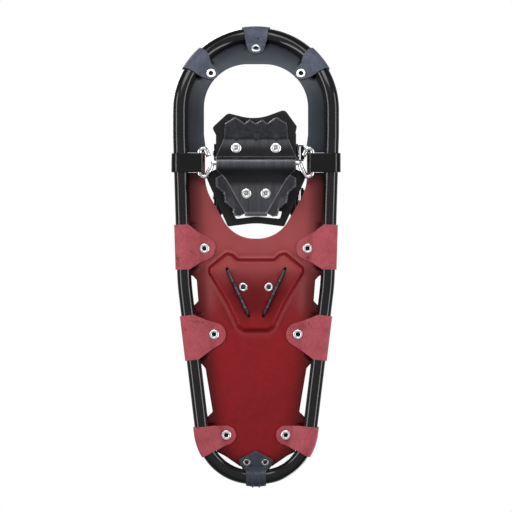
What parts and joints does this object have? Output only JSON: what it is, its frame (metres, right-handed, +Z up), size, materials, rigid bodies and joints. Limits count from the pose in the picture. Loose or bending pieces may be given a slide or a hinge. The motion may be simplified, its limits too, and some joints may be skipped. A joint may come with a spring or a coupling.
{
  "type": "snowshoe",
  "caption": "Left snowshoe: bent tube frame with riveted sheet decks, a hinged strap binding with a toe crampon, and a serrated heel crampon.",
  "frame": {"origin": "on the plane of the crampons' tips, under the middle of the outline", "axes": "+Z up, +Y along the snowshoe from toe to heel, +X to the wearer's left"},
  "size_m": [0.2082, 0.5691, 0.113],
  "materials": {
    "tube": "gloss black, lightly scuffed",
    "ferrule": "plain",
    "clip": "satin moulded",
    "grey_deck": "satin coated sheet",
    "red_deck": "satin coated sheet, scuffed",
    "heel_steel": "dark coated",
    "toe_steel": "dark coated",
    "moulding": "satin moulded",
    "wire": "polished",
    "rubber_band": "smooth, glossy",
    "rivet": "bright",
    "strap": "satin",
    "buckle": "satin moulded"
  },
  "bodies": {
    "frame": {"frame_tube": "tube", "tail_ferrule": "ferrule", "tail_clip": "clip", "tail_rivet_right": "rivet", "tail_rivet_left": "rivet", "nose_deck": "grey_deck", "nose_rivet_centre": "rivet", "nose_rivet_right": "rivet", "nose_rivet_left": "rivet", "main_deck": "red_deck", "deck_rivet_front_right": "rivet", "deck_rivet_front_left": "rivet", "deck_rivet_middle_right": "rivet", "deck_rivet_middle_left": "rivet", "deck_rivet_rear_right": "rivet", "deck_rivet_rear_left": "rivet", "heel_crampon": "heel_steel", "heel_pad": "moulding", "heel_rivet_right": "rivet", "heel_rivet_left": "rivet", "pivot_axle": "wire", "pivot_band_left": "rubber_band", "pivot_band_right": "rubber_band"},
    "binding": {"toe_crampon": "toe_steel", "crampon_rivet_front_right": "rivet", "crampon_rivet_front_left": "rivet", "crampon_rivet_rear_right": "rivet", "crampon_rivet_rear_left": "rivet", "binding_base": "moulding", "wing_left": "moulding", "wing_right": "moulding", "wing_rivet_front_right": "rivet", "wing_rivet_rear_right": "rivet", "wing_rivet_front_left": "rivet", "wing_rivet_rear_left": "rivet", "toe_strap": "strap", "instep_strap": "strap", "strap_rivet_toe_right": "rivet", "strap_rivet_toe_left": "rivet", "strap_rivet_instep_right": "rivet", "strap_rivet_instep_left": "rivet", "swing_rivet_right": "rivet", "swing_rivet_left": "rivet", "toe_buckle": "buckle", "instep_buckle": "buckle"},
    "heel_strap": {"heel_strap": "strap", "heel_buckle": "buckle"},
    "toe_lever": {"toe_lever": "buckle"},
    "instep_lever": {"instep_lever": "buckle"},
    "heel_lever": {"heel_lever": "buckle"}
  },
  "joints": [
    {"name": "binding_pivot", "type": "hinge", "parent": "frame", "child": "binding", "pos_m": [0, -0.1155, 0.0215], "axis": [1, 0, 0], "range_deg": [0, 55]},
    {"name": "heel_strap_swing", "type": "hinge", "parent": "binding", "child": "heel_strap", "pos_m": [0, -0.047, 0.05], "axis": [1, 0, 0], "range_deg": [-5, 75]},
    {"name": "toe_lever_hinge", "type": "hinge", "parent": "binding", "child": "toe_lever", "pos_m": [0.0571, -0.128, 0.074], "axis": [0, -1, 0], "range_deg": [0, 80]},
    {"name": "instep_lever_hinge", "type": "hinge", "parent": "binding", "child": "instep_lever", "pos_m": [0.0571, -0.074, 0.074], "axis": [0, -1, 0], "range_deg": [0, 80]},
    {"name": "heel_lever_hinge", "type": "hinge", "parent": "heel_strap", "child": "heel_lever", "pos_m": [0.0573, 0.04014, 0.06225], "axis": [0, -0.1392, 0.9903], "range_deg": [0, 80]}
  ]
}
